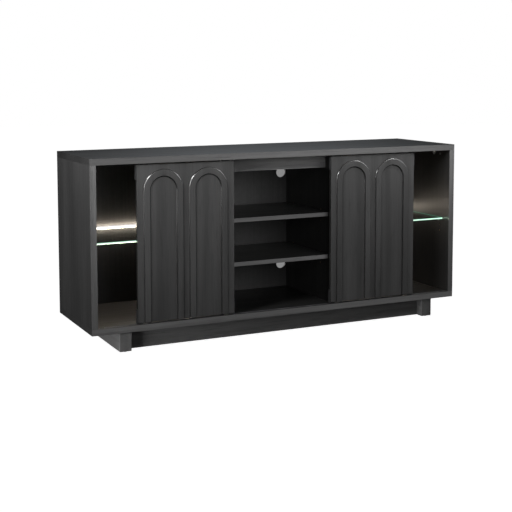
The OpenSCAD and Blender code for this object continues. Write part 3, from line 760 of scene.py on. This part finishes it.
TOP_LIGHTS = (
    ("top_back", (0.8, 1.5, 2.4), (0.2, 0.0, 0.6), (1.4, 1.0), 15.5, (0.88, 0.94, 1.0)),
    ("top_edge", (0.9, -1.5, 0.4), (0.1, -0.2, 0.6), (1.6, 0.4), 11.0),
)
BOTTOM_LIGHTS = (
    ("bottom_edge", (1.0, -1.6, 0.20), (0.3, -0.2, 0.09), (1.4, 0.1), 5.0),
)
DOOR_LIGHTS = (
    ("glint_low", (-1.9, -0.53, 0.33), (-0.4, -0.2, 0.45), (0.25, 0.3), 0.7),
    ("glint_middle", (-0.25, -0.85, 0.95), (0.4, -0.2, 0.55), (0.3, 0.2), 0.3),
    ("glint_high", (0.1, -0.72, 1.3), (0.4, -0.2, 0.55), (0.5, 0.15), 0.5),
)
BACK_LIGHTS = (
    ("back_left", (-0.35, 2.6, 0.3), (-0.2, 0.2, 0.3), (0.6, 0.6), 22.0),
    ("back_right", (0.35, 2.6, 0.3), (0.2, 0.2, 0.3), (0.6, 0.6), 22.0),
)
BASE_LIGHTS = (
    ("floor_left", (-1.7, -0.5, 0.1), (-0.64, 0.0, 0.03), (0.8, 0.2), 27.0),
)
INSIDE = ("left_divider", "right_divider", "left_back_board", "centre_back_board", "right_back_board",
          "upper_shelf", "lower_shelf", "left_glass_shelf", "right_glass_shelf")
BASE = ("left_base_runner", "right_base_runner", "front_base_rail", "floor_glides")
STAGE = ("floor", "wall_card")


def light_group(name, lights, wanted):
    """Lamps that light only the wanted pieces, though every piece shades them."""
    lit = bpy.data.collections.new(name)
    for piece in bpy.context.scene.objects:
        if piece.type == "MESH" and piece.name not in STAGE and wanted(piece.name):
            lit.objects.link(piece)
    for light in lights:
        lamp(*light).light_linking.receiver_collection = lit


def studio_lights():
    sides = ("left_side_panel", "right_side_panel")
    light_group("lit_inside", INSIDE_LIGHTS, lambda name: name in INSIDE)
    light_group("lit_outside", FRONT_LIGHTS, lambda name: name not in INSIDE)
    light_group("lit_from_above", HIGH_LIGHTS,
                lambda name: name not in INSIDE + ("top_panel", "bottom_panel"))
    light_group("lit_from_left", LEFT_LIGHTS, lambda name: name not in INSIDE + sides[1:])
    light_group("lit_top", TOP_LIGHTS, lambda name: name == "top_panel")
    light_group("lit_bottom", BOTTOM_LIGHTS, lambda name: name == "bottom_panel")
    light_group("lit_doors", DOOR_LIGHTS, lambda name: name.endswith("_arched_door"))
    light_group("lit_from_behind", BACK_LIGHTS,
                lambda name: name in BACKS or name not in INSIDE + sides)
    light_group("lit_base", BASE_LIGHTS, lambda name: name in BASE)


AMBIENT = 0.03        # even light from all round
CARD_GAP = 0.006      # from the back boards to the wall card
CARD_GLOW = (0.24, 0.27)
FLOOR_REACH = 14.0
FLOOR_GLOW = 1.0


def white_world():
    """White behind the object, and a dim even light on it."""
    world = bpy.data.worlds.new("studio")
    bpy.context.scene.world = world
    world.use_nodes = True
    nodes, links = world.node_tree.nodes, world.node_tree.links
    nodes.clear()
    path = nodes.new("ShaderNodeLightPath")
    strength = nodes.new("ShaderNodeMapRange")
    strength.inputs["To Min"].default_value = AMBIENT
    strength.inputs["To Max"].default_value = 1.0
    sky = nodes.new("ShaderNodeBackground")
    sky.inputs["Color"].default_value = (1.0, 1.0, 1.0, 1.0)
    out = nodes.new("ShaderNodeOutputWorld")
    links.new(path.outputs["Is Camera Ray"], strength.inputs["Value"])
    links.new(strength.outputs[0], sky.inputs["Strength"])
    links.new(sky.outputs[0], out.inputs[0])


def wall_card():
    """A grey glowing card, painted shade that stands for the shaded wall the cable holes look out on. It
    lies in the recess behind the back boards and shows from the front only."""
    low = Vector(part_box("left_back_board")[0])
    high = Vector(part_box("right_back_board")[1])
    y = high.y + CARD_GAP
    mesh = bpy.data.meshes.new("wall_card")
    corners = [(low.x, y, low.z), (high.x, y, low.z), (high.x, y, high.z), (low.x, y, high.z)]
    mesh.from_pydata(corners, [], [(0, 1, 2, 3)])
    card = bpy.data.objects.new("wall_card", mesh)
    bpy.context.scene.collection.objects.link(card)
    g = Graph("painted_wall_shade")
    plaster = g.noise(g.stretched(), 30.0, 3.0)
    # painted shade: the card's grey glow stands for the shaded wall behind the cabinet
    behind = g.nodes.new("ShaderNodeNewGeometry").outputs["Backfacing"]
    g.set(Base_Color=(0.0, 0.0, 0.0, 1.0), Specular_IOR_Level=0.0,
          Emission_Color=(1.0, 1.0, 1.0, 1.0),
          Emission_Strength=g.ranged(plaster, 0.3, 0.7, *CARD_GLOW),
          Alpha=g.math("SUBTRACT", 1.0, behind))
    mesh.materials.append(g.material)
    card.visible_diffuse = card.visible_glossy = False
    card.visible_shadow = card.visible_transmission = False


def pale_floor():
    """A plain white floor, with no shadow on it, as in the photograph."""
    mesh = bpy.data.meshes.new("floor")
    bm = bmesh.new()
    bmesh.ops.create_circle(bm, cap_ends=True, radius=FLOOR_REACH, segments=96)
    bm.to_mesh(mesh)
    bm.free()
    floor = bpy.data.objects.new("floor", mesh)
    bpy.context.scene.collection.objects.link(floor)
    g = Graph("pale_floor")
    dust = g.noise(g.stretched(), 8.0, 3.0)
    g.set(Base_Color=g.tinted(g.ranged(dust, 0.3, 0.7, 0.88, 0.9), (1.0, 1.0, 1.0)), Roughness=0.9,
          Specular_IOR_Level=0.0, Emission_Color=(1.0, 1.0, 1.0, 1.0),
          Emission_Strength=FLOOR_GLOW)
    mesh.materials.append(g.material)
    floor.visible_diffuse = floor.visible_glossy = False


YAW, PITCH, ROLL = math.radians(24.62), math.radians(-5.16), math.radians(-0.23)
CAMERA_PLACE = (-1.7906, -3.6005, 0.9688)
LENS_MM, SENSOR_MM = 75.25, 36.0
SHIFT = (0.0547, -0.18)
SIGHT = 60.0          # how far the camera sees


def photo_camera():
    """The camera at the photograph's viewing angle."""
    data = bpy.data.cameras.new("camera")
    data.lens, data.sensor_width = LENS_MM, SENSOR_MM
    data.shift_x, data.shift_y = SHIFT
    data.clip_end = SIGHT
    camera = bpy.data.objects.new("camera", data)
    turn = Matrix.Rotation(-YAW, 4, "Z") @ Matrix.Rotation(math.pi / 2 + PITCH, 4, "X")
    camera.matrix_world = (Matrix.Translation(CAMERA_PLACE) @ turn
                           @ Matrix.Rotation(ROLL, 4, "Z"))
    bpy.context.scene.collection.objects.link(camera)
    bpy.context.scene.camera = camera


# ---------------------------------------------------------------- the scene

photo_camera()
white_world()
pale_floor()
wall_card()
dress_boards()
dress_fittings()
for door_side in SIDES:
    make_door(door_side)
studio_lights()
for lit_side in SIDES:
    bar_lamps(lit_side)
    edge_lamp(lit_side)
bpy.context.scene.view_settings.view_transform = "Standard"
